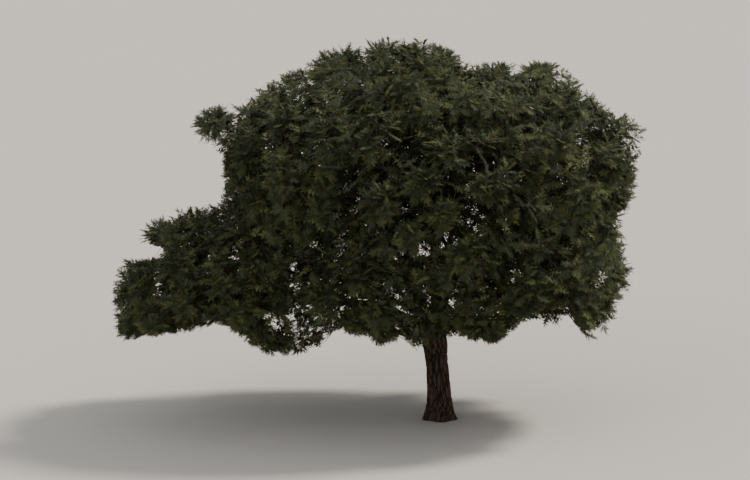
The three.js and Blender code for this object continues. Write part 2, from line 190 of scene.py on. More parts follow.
def browse_height(points):
    """The height of the crown's lower edge over or under each point."""
    bites = np.where(points[:, 1] < 0, rise_at(BROWSED_SPOTS, points[:, 0]), 0)
    return BROWSE_LINE + BROWSE_RISE * np.abs(points[:, 1]) + bites


def is_low(points, band):
    """Whether each point lies under the crown's lower edge, or within a band over it."""
    return points[:, 2] < browse_height(points) + band


def border_margin(mass, points):
    """How much nearer each point is to a mass's heart than to any other's."""
    away = np.linalg.norm(points[:, None] - hearts[None], axis=2)
    own = away[:, mass.number].copy()
    away[:, mass.number] = np.inf
    return away.min(axis=1) - own


def place_of(mass, points, mingling=0):
    """What each point is to a mass: its own space, the open air, a neighbour's or the hollow. Where
    masses mingle, its own space goes on a little past the border."""
    margin = border_margin(mass, points)
    outline = 1 - CREASE_DEPTH * np.exp(-np.maximum(margin, 0) / CREASE_WIDTH)
    outside = (crown_level(points) > outline) | is_low(points, 0)
    bare = level_in(HOLLOW_MIDDLE, HOLLOW_HALF, 2, points) < 1
    past = margin < SPACE_GAP - mingling
    return np.where(outside, OPEN, np.where(past, NEIGHBOUR, np.where(bare, HOLLOW, OWN)))


def clear_of_limbs(points):
    """Whether each point keeps its clearance from every limb."""
    clear = np.ones(len(points), dtype=bool)
    for limb in limbs:
        widest = limb.radii.max() + LIMB_CLEARANCE
        low, high = limb.centres.min(axis=0) - widest, limb.centres.max(axis=0) + widest
        near = np.nonzero(((points > low) & (points < high)).all(axis=1))[0]
        away = np.linalg.norm(points[near, None] - limb.centres[None], axis=2)
        clear[near] = clear[near] & (away > limb.radii + LIMB_CLEARANCE).all(axis=1)
    return clear


def reach(mass, ways):
    """How far each way goes from a mass's heart to the edge of its space, and what lies past that."""
    distance = np.zeros(len(ways))
    edge = np.full(len(ways), OWN)
    growing = np.arange(len(ways))
    while len(growing):
        distance[growing] += REACH_STEP
        points = mass.heart + ways[growing] * distance[growing, None]
        found = place_of(mass, points)
        found[(found == OWN) & ~clear_of_limbs(points)] = LIMB
        edge[growing] = found
        growing = growing[found == OWN]
    return distance - REACH_STEP, edge


def spread_ways(count, turned):
    """Ways spread evenly all round, on a golden spiral."""
    number = np.arange(count)
    height = 1 - (2 * number + 1) / count
    flat = np.sqrt(1 - height**2)
    turn = number * GOLDEN_TURN + turned
    return np.stack([flat * np.cos(turn), flat * np.sin(turn), height], axis=1)


# The limbs' lines: a short trunk that flares into its roots and swells under its fork, and boughs
# that arch out from it. Three leaders climb to the crest and bear the shoulder's boughs, and four
# boughs spread from under the fork to the skirt and bear one more each.
TRUNK_HEIGHT = 3.15
TRUNK_LEAN = 0.26
TRUNK_SWAY = 0.1
TRUNK_RADIUS = 0.39
TRUNK_TAPER = 0.03
TRUNK_RINGS = 12
FLARE = 0.19
FLARE_HEIGHT = 0.38
FLARE_LOBES = 5
FLARE_LOBE_SHARE = 0.35
FORK_SWELL = 0.055
FORK_SHARE = 0.82
FORK_SPAN = 0.12
SHOULDER_SHARE = 0.86
SHOULDER_ROUNDING = 0.09
LEADER = SimpleNamespace(share=0.93, radius=0.205, rise=1.1)
SPREADER = SimpleNamespace(share=0.84, radius=0.175, rise=0.75)
SHOULDER_BOUGHS = (
    SimpleNamespace(share=0.3, radius=0.12, rise=0.8),
    SimpleNamespace(share=0.42, radius=0.115, rise=0.8),
)
SIDE_BOUGH = SimpleNamespace(share=0.3, radius=0.11, rise=0.5)
BOUGH_TIP_RADIUS = 0.055
BOUGH_TAPER_POWER = 0.8
BOUGH_RINGS = 6
BOUGH_WANDER = 0.022
WANDER_WAVES = (1.3, 1.9)
START_PULL = 0.42
END_PULL = 0.3
SAMPLES_A_RING = 3
LINE_STEPS = 200


def trunk_line(t):
    """The trunk's line: upright at the foot, leaning a little to the left at the fork."""
    back = TRUNK_SWAY * np.sin(math.pi * t) * t
    return np.stack([-TRUNK_LEAN * t * t, back, TRUNK_HEIGHT * t], axis=-1)


def trunk_radius(along, turn):
    """The trunk's radius: root flare with lobes, slow taper, fork swelling and rounded shoulder."""
    lobes = 1 + FLARE_LOBE_SHARE * np.cos(FLARE_LOBES * turn + 1)
    flare = FLARE * lobes * np.exp(-along * TRUNK_HEIGHT / FLARE_HEIGHT)
    swell = FORK_SWELL * np.exp(-((along - FORK_SHARE) / FORK_SPAN) ** 2)
    rise = np.clip((along - SHOULDER_SHARE) / (1 - SHOULDER_SHARE), 0, 1)
    rounding = SHOULDER_ROUNDING * rise * rise * (3 - 2 * rise)
    return TRUNK_RADIUS - TRUNK_TAPER * along + flare + swell - rounding


def bezier(corners, t):
    """Points of a cubic arc at t, from its four corners."""
    t = np.asarray(t)[..., None]
    first, second, third, last = corners
    return (
        first * (1 - t) ** 3
        + second * 3 * t * (1 - t) ** 2
        + third * 3 * t**2 * (1 - t)
        + last * t**3
    )


def bough_line(start, start_way, tip, tip_way, chance):
    """An arc that leaves one way and arrives another, with a slow wander that dies out at its ends."""
    span = np.linalg.norm(tip - start)
    corners = (start, start + start_way * span * START_PULL, tip - tip_way * span * END_PULL, tip)
    along = unit(tip - start)
    sideways = unit(np.cross(along, UP))
    upwards = np.cross(sideways, along)
    phases = (next(chance) * FULL_TURN, next(chance) * FULL_TURN)

    def line(t):
        fade = np.sin(math.pi * t) ** 2 * span * BOUGH_WANDER
        aside = fade * np.sin(FULL_TURN * WANDER_WAVES[0] * t + phases[0])
        above = fade * np.sin(FULL_TURN * WANDER_WAVES[1] * t + phases[1])
        return bezier(corners, t) + aside[..., None] * sideways + above[..., None] * upwards

    return line


def points_along(line, shares):
    """Points of a line at shares of its length."""
    steps = np.linspace(0, 1, LINE_STEPS + 1)
    lengths = np.linalg.norm(np.diff(line(steps), axis=0), axis=1)
    lengths = np.concatenate([[0], np.cumsum(lengths)])
    return line(np.interp(np.asarray(shares) * lengths[-1], lengths, steps))


def add_limb(name, line, radius_at, rings):
    """Keeps a limb with the points of it that foliage stays clear of."""
    shares = np.linspace(0, 1, SAMPLES_A_RING * rings + 1)
    limbs.append(SimpleNamespace(
        name=name,
        line=line,
        radius_at=radius_at,
        centres=points_along(line, shares),
        radii=radius_at(shares),
    ))
    return limbs[-1]


def add_bough(mass, parent, kind):
    """Adds a bough that leaves a point of its parent and ends where it enters its mass."""
    start = points_along(parent.line, kind.share)
    inward = unit(start - mass.heart)
    distance, _ = reach(mass, inward[None])
    mass.tip = mass.heart + inward * distance[0]
    outward = unit((mass.tip - start) * (1, 1, 0))
    start_way = outward * math.cos(kind.rise) + UP * math.sin(kind.rise)
    mass.tip_way = unit(mass.heart - mass.tip)
    line = bough_line(start, start_way, mass.tip, mass.tip_way, mass.chance)

    def radius_at(along):
        return kind.radius + (BOUGH_TIP_RADIUS - kind.radius) * along**BOUGH_TAPER_POWER

    mass.bough = add_limb("bough_" + mass.name, line, radius_at, BOUGH_RINGS)


def grow_limbs():
    """The trunk, then every bough, in the order in which each needs its parent."""
    trunk = add_limb("trunk", trunk_line, lambda along: trunk_radius(along, 0), TRUNK_RINGS)
    leaders = [mass for mass in masses if mass.tier == "crest"]
    skirt = [mass for mass in masses if mass.tier == "skirt"]
    for mass in leaders:
        add_bough(mass, trunk, LEADER)
    for mass in skirt[::2]:
        add_bough(mass, trunk, SPREADER)
    for mass in masses:
        if mass.tier == "shoulder":
            add_bough(mass, leaders[mass.place // 2].bough, SHOULDER_BOUGHS[mass.place % 2])
    for mass in skirt[1::2]:
        add_bough(mass, skirt[mass.place - 1].bough, SIDE_BOUGH)


grow_limbs()


# Tubes along paths. The boughs, branches and twigs are all round, tapering and closed at both
# ends, so one set of geometry nodes makes them: each row of points becomes a tube whose thickness
# is told point by point.
def plain_mesh(piece):
    """What a piece's modifiers make of it, as a plain mesh. The piece itself goes."""
    graph = bpy.context.evaluated_depsgraph_get()
    mesh = bpy.data.meshes.new_from_object(piece.evaluated_get(graph), depsgraph=graph)
    bpy.data.objects.remove(piece)
    return mesh


def made_by_nodes(piece, tree, values):
    """What a geometry nodes tree makes of a piece with the given values for its inputs."""
    modifier = piece.modifiers.new("made", "NODES")
    modifier.node_group = tree
    for item in tree.interface.items_tree:
        if item.name in values:
            modifier[item.identifier] = values[item.name]
    return plain_mesh(piece)


def new_piece(name, mesh):
    """An object at the origin that shows a mesh."""
    piece = bpy.data.objects.new(name, mesh)
    bpy.context.scene.collection.objects.link(piece)
    return piece


class Nodes:
    """A node tree, with its nodes and links made by short calls."""

    def __init__(self, tree):
        self.tree = tree
        self.link = tree.links.new

    def node(self, kind, **settings):
        made = self.tree.nodes.new(kind)
        for name, value in settings.items():
            if name in made.inputs:
                made.inputs[name].default_value = value
            else:
                setattr(made, name, value)
        return made


class MeshNodes(Nodes):
    """Geometry nodes with named inputs and one output of geometry."""

    def __init__(self, name, inputs, output):
        super().__init__(bpy.data.node_groups.new(name, "GeometryNodeTree"))
        for title, kind in inputs.items():
            self.tree.interface.new_socket(title, in_out="INPUT", socket_type="NodeSocket" + kind)
        self.tree.interface.new_socket(output, in_out="OUTPUT", socket_type="NodeSocketGeometry")
        self.given = self.node("NodeGroupInput").outputs
        self.result = self.node("NodeGroupOutput").inputs[output]

    def told(self, name, kind):
        """What each point has been told under a name."""
        asked = self.node("GeometryNodeInputNamedAttribute", data_type=kind, Name=name)
        return asked.outputs["Attribute"]


def tube_tree():
    """Geometry nodes: every chain of edges becomes a capped tube with the given sides and bark."""
    inputs = {"Paths": "Geometry", "Sides": "Int", "Bark": "Material"}
    tree = MeshNodes("tubes_along_paths", inputs, "Tubes")
    chains = tree.node("GeometryNodeMeshToCurve")
    section = tree.node("GeometryNodeCurvePrimitiveCircle", Radius=1)
    swept = tree.node("GeometryNodeCurveToMesh")
    swept.inputs["Fill Caps"].default_value = True
    smooth = tree.node("GeometryNodeSetShadeSmooth")
    realized = tree.node("GeometryNodeRealizeInstances")
    painted = tree.node("GeometryNodeSetMaterial")
    tree.link(tree.given["Paths"], chains.inputs["Mesh"])
    tree.link(tree.given["Sides"], section.inputs["Resolution"])
    tree.link(chains.outputs["Curve"], swept.inputs["Curve"])
    tree.link(section.outputs["Curve"], swept.inputs["Profile Curve"])
    tree.link(tree.told("thickness", "FLOAT"), swept.inputs["Scale"])
    tree.link(swept.outputs["Mesh"], smooth.inputs["Geometry"])
    tree.link(smooth.outputs["Geometry"], realized.inputs["Geometry"])
    tree.link(realized.outputs["Geometry"], painted.inputs["Geometry"])
    tree.link(tree.given["Bark"], painted.inputs["Material"])
    tree.link(painted.outputs["Geometry"], tree.result)
    return tree.tree


tubes_along_paths = tube_tree()


def tell(mesh, name, kind, values):
    """Gives a mesh one value for each of its points."""
    slot = "vector" if kind == "FLOAT_VECTOR" else "value"
    mesh.attributes.new(name, kind, "POINT").data.foreach_set(slot, values.reshape(-1))


def tubes(name, paths, thickness, sides, bark=None):
    """A mesh of closed tubes, one along each row of points."""
    count, length = paths.shape[:2]
    first = np.arange(count * length).reshape(count, length)[:, :-1].reshape(-1)
    mesh = bpy.data.meshes.new(name)
    mesh.vertices.add(count * length)
    mesh.vertices.foreach_set("co", paths.reshape(-1))
    mesh.edges.add(len(first))
    mesh.edges.foreach_set("vertices", np.stack([first, first + 1], axis=1).reshape(-1))
    tell(mesh, "thickness", "FLOAT", thickness)
    made = made_by_nodes(new_piece(name, mesh), tubes_along_paths, {"Sides": sides, "Bark": bark})
    made.attributes.remove(made.attributes["thickness"])
    return made


def joined(name, meshes):
    """Several meshes as one."""
    whole = bmesh.new()
    for mesh in meshes:
        whole.from_mesh(mesh)
    together = bpy.data.meshes.new(name)
    whole.to_mesh(together)
    whole.free()
    return together


# The bark. An old acacia's trunk and boughs are covered in thick, dark grey-brown bark, split along
# the grain into long interlaced ridges, deepest on the trunk and finer up the boughs. The limbs are
# fused into one skin here, eased at the forks, and the ridges are raised on it.
SKIN_VOXEL = 0.033
TRUNK_SIDES = 72
TRUNK_SKIN_RINGS = 96
FOOT_DEPTH = 0.15
BOUGH_SIDES = 20
BOUGH_POINTS = 120
COLLAR = 0.3
COLLAR_LENGTH = 0.22
EASE_WIDTH = 0.1
EASE_START = 0.03
EASE_ROUNDS = 14
EASE_PULL = 0.6
FINE_BARK_TOP = 2.9
GRAIN = 0.2
SWERVE_SEED = 7
SWERVE_SCALE = 6
GRAIN_SWERVE = 0.035
PLATE_SCALE = 9
FURROW_FLOOR = 0.04
FURROW_WIDTH = 0.3
FURROW_DEPTH = 0.034
FURROW_THINNING = 0.7
CRACK_SCALE = 23
CRACK_WIDTH = 0.22
CRACK_DEPTH = 0.01
CRACK_THINNING = 0.5
# How much of the fissures' painted shade the fine cracks take.
CRACK_SHADE = 0.5
FLUTE_SCALE = 2.1
FLUTE_DEPTH = 0.03
SEAM_WIDTH = 0.05
LIMB_SHIFT = 5.7
LEVEL_CUT = -0.999
FLAKE_SCALE = 42
PATCH_SCALE = 3.2
BOUGH_GIRTH = ((0.06, (1, 1, 1)), (0.3, (0, 0, 0)))
OLD_BARK = (
    (0.3, (0.034, 0.024, 0.017)),
    (0.5, (0.085, 0.061, 0.044)),
    (0.72, (0.165, 0.128, 0.097)),
)
YOUNG_BARK = ((0.3, (0.048, 0.036, 0.028)), (0.7, (0.135, 0.108, 0.083)))
DUST = ((0.42, (0.86, 0.83, 0.8)), (0.66, (1.22, 1.16, 1.06)))
# Painted shade in the fissures, from none on the ridges to near black at their bottom.
FISSURE_SHADE = ((0.1, (1, 1, 1)), (0.85, (0.24, 0.21, 0.19)))
ROUGHNESS = (0.98, 0.8)


def trunk_skin():
    """The trunk as level rings of points, from a little under the ground to its shoulder."""
    along = np.concatenate([[0], np.linspace(0, 1, TRUNK_SKIN_RINGS)])
    centres = points_along(trunk_line, along)
    centres[0, 2] = -FOOT_DEPTH
    turns = np.arange(TRUNK_SIDES) / TRUNK_SIDES * FULL_TURN
    radii = trunk_radius(along[:, None], turns[None])
    across = np.stack([np.cos(turns), np.sin(turns), np.zeros(TRUNK_SIDES)], axis=1)
    points = centres[:, None] + radii[:, :, None] * across[None]
    rings = len(along)
    first = np.arange((rings - 1) * TRUNK_SIDES).reshape(rings - 1, TRUNK_SIDES)
    second = np.roll(first, -1, axis=1)
    walls = np.stack([first, second, second + TRUNK_SIDES, first + TRUNK_SIDES], axis=2)
    faces = walls.reshape(-1, 4).tolist()
    faces.append(list(range(TRUNK_SIDES))[::-1])
    faces.append(list(range((rings - 1) * TRUNK_SIDES, rings * TRUNK_SIDES)))
    mesh = bpy.data.meshes.new("trunk_skin")
    mesh.from_pydata(points.reshape(-1, 3).tolist(), [], faces)
    return mesh


def bough_skins():
    """Every bough as a tube with a collar where it leaves its parent."""
    shares = np.linspace(0, 1, BOUGH_POINTS)
    paths = np.array([points_along(limb.line, shares) for limb in limbs[1:]])
    lengths = np.linalg.norm(np.diff(paths, axis=1), axis=2).sum(axis=1)
    collars = 1 + COLLAR * np.exp(-shares[None] * lengths[:, None] / COLLAR_LENGTH)
    radii = np.array([limb.radius_at(shares) for limb in limbs[1:]])
    return tubes("bough_skins", paths, radii * collars, BOUGH_SIDES)


def fused(mesh):
    """One skin round all that a mesh encloses."""
    piece = new_piece("fused", mesh)
    remesh = piece.modifiers.new("fuse", "REMESH")
    remesh.mode = "VOXEL"
    remesh.voxel_size = SKIN_VOXEL
    return plain_mesh(piece)


def with_fine_trunk(mesh):
    """The skin with each face of the trunk cut in four, where the ridges are seen from close by."""
    skin = bmesh.new()
    skin.from_mesh(mesh)
    low = [edge for edge in skin.edges if max(v.co.z for v in edge.verts) < FINE_BARK_TOP]
    bmesh.ops.subdivide_edges(skin, edges=low, cuts=1, use_grid_fill=True)
    skin.to_mesh(mesh)
    skin.free()
    return mesh


def points_of(mesh):
    """A mesh's points as rows."""
    points = np.empty(len(mesh.vertices) * 3)
    mesh.vertices.foreach_get("co", points)
    return points.reshape(-1, 3)


def nearest_limbs(points):
    """For each point the limb whose surface is nearest, how much nearer it is than the next one,
    how far along that limb the point lies, the way round it, and its radius there."""
    shares = np.linspace(0, 1, BOUGH_POINTS)
    gaps = np.full((len(points), 2), np.inf)
    place = np.zeros((len(points), 3))
    girth = np.zeros(len(points))
    for number, limb in enumerate(limbs):
        centres = points_along(limb.line, shares)
        radii = limb.radius_at(shares)
        lengths = np.concatenate([[0], np.cumsum(np.linalg.norm(np.diff(centres, axis=0), axis=1))])
        tangents = unit(np.gradient(centres, axis=0))
        squares = (points**2).sum(axis=1)[:, None] + (centres**2).sum(axis=1)[None]
        away = np.sqrt(np.maximum(squares - 2 * points @ centres.T, 0)) - radii[None]
        near = away.argmin(axis=1)
        gap = away[np.arange(len(points)), near]
        offset = points - centres[near]
        ahead = (offset * tangents[near]).sum(axis=1)
        level = unit(np.cross(tangents, UP) + NUDGE)
        steep = np.cross(level, tangents)
        turn = np.arctan2((offset * steep[near]).sum(axis=1), (offset * level[near]).sum(axis=1))
        if number == 0:
            turn = np.arctan2(offset[:, 1], offset[:, 0])
        radius = radii[near]
        here = np.stack([radius * np.cos(turn), radius * np.sin(turn), lengths[near] + ahead], axis=1)
        here[:, 2] = here[:, 2] * GRAIN + number * LIMB_SHIFT
        nearer = gap < gaps[:, 0]
        gaps[:, 1] = np.where(nearer, gaps[:, 0], np.minimum(gaps[:, 1], gap))
        gaps[:, 0] = np.where(nearer, gap, gaps[:, 0])
        place[nearer] = here[nearer]
        girth[nearer] = radius[nearer]
    return gaps[:, 1] - gaps[:, 0], place, girth


def smooth_step(values, low, high):
    """0 below low, 1 above high, and an even rise between them."""
    rise = np.clip((values - low) / (high - low), 0, 1)
    return rise * rise * (3 - 2 * rise)


def eased(points, edges, weights):
    """Points drawn towards their neighbours, each as much as its weight says."""
    count = np.bincount(edges.reshape(-1), minlength=len(points))[:, None]
    for _ in range(EASE_ROUNDS):
        sums = np.zeros_like(points)
        for axis in range(3):
            sums[:, axis] += np.bincount(edges[:, 0], points[edges[:, 1], axis], len(points))
            sums[:, axis] += np.bincount(edges[:, 1], points[edges[:, 0], axis], len(points))
        points = points + weights[:, None] * (sums / count - points) * EASE_PULL
    return points


def edge_distance(point):
    """How far a point is from the edge of the plate of bark that it lies on."""
    distances, _ = noise.voronoi(point)
    return distances[1] - distances[0]


def raised_ridges(place, girth):
    """How far the bark stands out at each point, and how deep in a fissure it is from 0 to 1, for the
    painted shade there.
    """
    noise.seed_set(SWERVE_SEED)
    size = girth / TRUNK_RADIUS
    furrow = np.empty(len(place))
    crack = np.empty(len(place))
    flute = np.empty(len(place))
    for number, point in enumerate(place):
        here = Vector(point)
        swerved = here + GRAIN_SWERVE * noise.noise_vector(here * SWERVE_SCALE)
        furrow[number] = edge_distance(swerved * PLATE_SCALE)
        crack[number] = edge_distance(swerved * CRACK_SCALE)
        flute[number] = noise.noise(here * FLUTE_SCALE)
    furrow = 1 - smooth_step(furrow, FURROW_FLOOR, FURROW_WIDTH)
    crack = 1 - smooth_step(crack, 0, CRACK_WIDTH)
    furrowed = FURROW_DEPTH * furrow * size**FURROW_THINNING
    cracked = CRACK_DEPTH * crack * size**CRACK_THINNING
    height = FLUTE_DEPTH * flute * size - furrowed - cracked
    return height, np.maximum(furrow, CRACK_SHADE * crack)


def bark_skin():
    """The limbs' skin with its ridges, cut flat at the ground."""
    mesh = with_fine_trunk(fused(joined("limbs", [trunk_skin(), bough_skins()])))
    points = points_of(mesh)
    edges = np.empty(len(mesh.edges) * 2, dtype=np.int32)
    mesh.edges.foreach_get("vertices", edges)
    lead, _, _ = nearest_limbs(points)
    points = eased(points, edges.reshape(-1, 2), 1 - smooth_step(lead, EASE_START, EASE_WIDTH))
    mesh.vertices.foreach_set("co", points.reshape(-1))
    mesh.update()
    normals = np.empty(len(mesh.vertices) * 3)
    mesh.vertex_normals.foreach_get("vector", normals)
    lead, place, girth = nearest_limbs(points)
    calm = smooth_step(lead, 0, SEAM_WIDTH)
    height, fissure = raised_ridges(place, girth)
    points += normals.reshape(-1, 3) * (height * calm)[:, None]
    mesh.vertices.foreach_set("co", points.reshape(-1))
    tell(mesh, "bark_place", "FLOAT_VECTOR", place)
    # How deep in a fissure each point lies, for the bark's painted shade.
    tell(mesh, "bark_fissure", "FLOAT", fissure * calm)
    tell(mesh, "bark_girth", "FLOAT", girth)
    skin = bmesh.new()
    skin.from_mesh(mesh)
    everything = skin.verts[:] + skin.edges[:] + skin.faces[:]
    bmesh.ops.bisect_plane(skin, geom=everything, plane_no=UP, clear_inner=True)
    bmesh.ops.holes_fill(skin, edges=[edge for edge in skin.edges if edge.is_boundary])
    for face in skin.faces:
        face.smooth = face.normal.z > LEVEL_CUT
    skin.to_mesh(mesh)
    skin.free()
    return mesh


class Shader(Nodes):
    """The nodes of a new matt material."""

    def __init__(self, name, roughness, gloss):
        self.material = bpy.data.materials.new(name)
        self.material.use_nodes = True
        super().__init__(self.material.node_tree)
        self.surface = self.tree.nodes["Principled BSDF"].inputs
        self.surface["Roughness"].default_value = roughness
        self.surface["Specular IOR Level"].default_value = gloss

    def own_place(self):
        return self.node("ShaderNodeTexCoord").outputs["Object"]

    def noise(self, place, scale, detail=3, roughness=0.6):
        made = self.node("ShaderNodeTexNoise", Scale=scale, Detail=detail, Roughness=roughness)
        self.link(place, made.inputs["Vector"])
        return made.outputs["Fac"]

    def ramp(self, value, *stops):
        made = self.node("ShaderNodeValToRGB")
        while len(made.color_ramp.elements) < len(stops):
            made.color_ramp.elements.new(0.5)
        for element, (place, colour) in zip(made.color_ramp.elements, stops):
            element.position = place
            element.color = (*colour, 1)
        self.link(value, made.inputs["Fac"])
        return made.outputs["Color"]

    def mix(self, share, first, second, blend="MIX"):
        made = self.node("ShaderNodeMix", data_type="RGBA", blend_type=blend)
        if isinstance(share, float):
            made.inputs[0].default_value = share
        else:
            self.link(share, made.inputs[0])
        self.link(first, made.inputs[6])
        self.link(second, made.inputs[7])
        return made.outputs[2]

    def attribute(self, name, output="Fac"):
        return self.node("ShaderNodeAttribute", attribute_name=name).outputs[output]


def bark_material():
    """Dark grey-brown bark, greyer on the ridges and up the boughs, with painted shade darkening the
    fissures to near black.
    """
    bark = Shader("fissured_bark", roughness=0.9, gloss=0.25)
    place = bark.attribute("bark_place", "Vector")
    fissure = bark.attribute("bark_fissure")
    girth = bark.attribute("bark_girth")
    flakes = bark.noise(place, FLAKE_SCALE, detail=6, roughness=0.7)
    old = bark.ramp(flakes, *OLD_BARK)
    young = bark.ramp(flakes, *YOUNG_BARK)
    weathered = bark.mix(bark.ramp(girth, *BOUGH_GIRTH), old, young)
    dusty = bark.ramp(bark.noise(place, PATCH_SCALE), *DUST)
    tinted = bark.mix(1.0, weathered, dusty, "MULTIPLY")
    # Painted shade: the fissures and cracks are darkened towards near black over the bark's colour.
    depth = bark.ramp(fissure, *FISSURE_SHADE)
    bark.link(bark.mix(1.0, tinted, depth, "MULTIPLY"), bark.surface["Base Color"])
    rough = bark.node("ShaderNodeMapRange")
    bark.link(flakes, rough.inputs["Value"])
    rough.inputs["To Min"].default_value = ROUGHNESS[0]
    rough.inputs["To Max"].default_value = ROUGHNESS[1]
    bark.link(rough.outputs["Result"], bark.surface["Roughness"])
    relief = bark.node("ShaderNodeBump", Strength=0.7, Distance=0.02)
    bark.link(flakes, relief.inputs["Height"])
    bark.link(relief.outputs["Normal"], bark.surface["Normal"])
    return bark.material


fissured_bark = bark_material()
bark_piece = new_piece("bark_of_trunk_and_boughs", bark_skin())
bark_piece.data.materials.append(fissured_bark)
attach(bark_piece, "root")
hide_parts(*[limb.name for limb in limbs])


# The twigs, in smooth, grey-brown young bark. From each bough's tip a stem runs to the heart of its
# mass and breaks up into branches that reach for the open air. Each bears slender twigs that spread
# into a rounded clump, and each twig ends in a tuft of short, thin shoots.
TWIG_SEED = 100
STEM_TIP_RADIUS = 0.045
STEM_OVERLAP = 0.06
STEM_FIT = 0.97
STEM_POINTS = 4
STEM_SIDES = 8
STEM_FORK_SHARE = 0.35
BRANCH_WAYS = 34
BRANCH_REACH = 0.66
BRANCH_POINTS = 6
BRANCH_SIDES = 5
BRANCH_RADII = (0.040, 0.016)
BRANCH_SAG = 0.12
BRANCH_SWEEP = 0.7
BRANCH_BEND = 0.35
BRANCH_PULLS = (0.35, 0.35)
TUFT_WAYS = 900
TUFT_SPACING = 0.6
TUFT_SEED = 17
UNDER_SPACING = 0.64
UNDER_BAND = 0.25
UNDER_RECESS = 0.3
CLUMP_SPACING = 0.5
BORDER_LEVEL = 0.66
BORDER_BAND = 1.1
TUFT_DEPTHS = (0.40, 0.58)
BORDER_DEPTHS = (0.10, 0.30)
CLUMP_RADIUS = 0.85
CLUMP_RECESS = 0.8
CLUMP_NECK = 1.5
BORDER_EASE = 1.1
TUFT_LIFT = 0.3
TWIG_POINTS = 4
TWIG_SIDES = 3
TWIG_RADII = (0.015, 0.009)
TWIG_LEAD = 0.25
TWIG_BACK_COST = 2
TWIG_SWEEP = 0.6
TWIG_PULLS = (0.4, 0.3)
TWIG_LIFT = 0.15
SHOOTS = 9
SHOOT_LENGTH = 0.40
SHOOT_SPLAY = 1.95
SHOOT_SIDES = 3
SHOOT_CROWDING = 0.8
SHOOT_VARIETY = (0.75, 1.2)
SPLAY_VARIETY = (0.85, 1.12)
SPLAY_START = 0.35
TURN_SCATTER = 0.2
SHOOT_RADII = (0.007, 0.0035)
SHOOT_FOOT = 0.66
SHOOT_TRIES = (1, 0.8, 0.6, 0.4)
SHOOT_ROOM = 0.12
SHOOT_MINGLING = 0.5
SHADE_SPACING = 0.8
SHADE_DEPTH = 0.95
UNDER_SHADE_DEPTH = 0.45
SHADE_JITTER = 0.28
SHADE_EDGE = 0.06
SHADE_SHOOTS = 5
SHADE_SIZE = 1.5
SHADE_FEELERS = 60
SHADE_SEED = 50
MOTTLE_SCALE = 9
TWIG_BROWNS = ((0.35, (0.052, 0.036, 0.027)), (0.65, (0.120, 0.090, 0.068)))


def find_clumps(mass):
    """The ways of a mass's branches, and how far it is to the open air on each: evenly spread ways,
    and one to the middle of each clump of the outline to which this mass is the nearest."""
    ways = spread_ways(BRANCH_WAYS, next(mass.chance) * FULL_TURN)
    for clump in CLUMPS:
        if np.linalg.norm(hearts - clump.middle, axis=1).argmin() == mass.number:
            ways = np.vstack([ways, unit(clump.middle - mass.heart)])
    distances, edges = reach(mass, ways)
    mass.branch_ways = ways[edges == OPEN]
    mass.branch_reach = distances[edges == OPEN, None]


def find_tufts():
    """Where the sunlit tufts may stand: points of the crown's open edge, an even space apart. Each
    is kept with its mass and whether it is on the open edge or on the border to a neighbour."""
    owners, points, opens = [], [], []
    for mass in masses:
        ways = spread_ways(TUFT_WAYS, next(mass.chance) * FULL_TURN)
        distances, edges = reach(mass, ways)
        ends = mass.heart + ways * distances[:, None]
        near_air = (crown_level(ends) > BORDER_LEVEL) | is_low(ends, BORDER_BAND)
        lit = (edges == OPEN) | ((edges == NEIGHBOUR) & near_air)
        owners.append(np.full(lit.sum(), mass.number))
        points.append(ends[lit])
        opens.append(edges[lit] == OPEN)
    owners, points, opens = np.concatenate(owners), np.vstack(points), np.concatenate(opens)
    spacing = np.where(is_low(points, UNDER_BAND), UNDER_SPACING, TUFT_SPACING)
    spacing[~opens & (crown_level(points) < BORDER_LEVEL)] = CLUMP_SPACING
    spacing[clump_level(points) < CLUMP_NECK] = CLUMP_SPACING
    kept = []
    for number in np.random.default_rng(TUFT_SEED).permutation(len(points)):
        apart = np.linalg.norm(points[kept] - points[number], axis=1)
        if (apart > spacing[number]).all():
            kept.append(number)
    return owners[kept], points[kept], opens[kept]


def sunlit_tufts(mass, points, opens):
    """The feet and axes of a mass's sunlit tufts. Those on the open edge fan out from the middle of
    the nearest branch's clump, and stand further back the further they are round its side, but
    less so near a border or on the flat underside. Those on a border stand close to it, so that
    the masses mingle there."""
    tops = mass.heart + mass.branch_ways * mass.branch_reach
    middles = tops - mass.branch_ways * CLUMP_RADIUS
    nearest = np.linalg.norm(points[:, None] - tops[None], axis=2).argmin(axis=1)
    from_middle = points - middles[nearest]
    recess = np.clip(np.linalg.norm(from_middle, axis=1) - CLUMP_RADIUS, 0, CLUMP_RECESS)
    recess *= np.clip(border_margin(mass, points) / BORDER_EASE, 0, 1)
    recess[is_low(points, UNDER_BAND)] *= UNDER_RECESS
    recess[clump_level(points) < CLUMP_NECK] = 0
    axes = unit(np.where(opens[:, None], from_middle, points - mass.heart))
    random = np.random.default_rng(mass.number)
    depths = recess + random.uniform(*TUFT_DEPTHS, len(points))
    depths = np.where(opens, depths, random.uniform(*BORDER_DEPTHS, len(points)))
    return points - axes * depths[:, None], axes


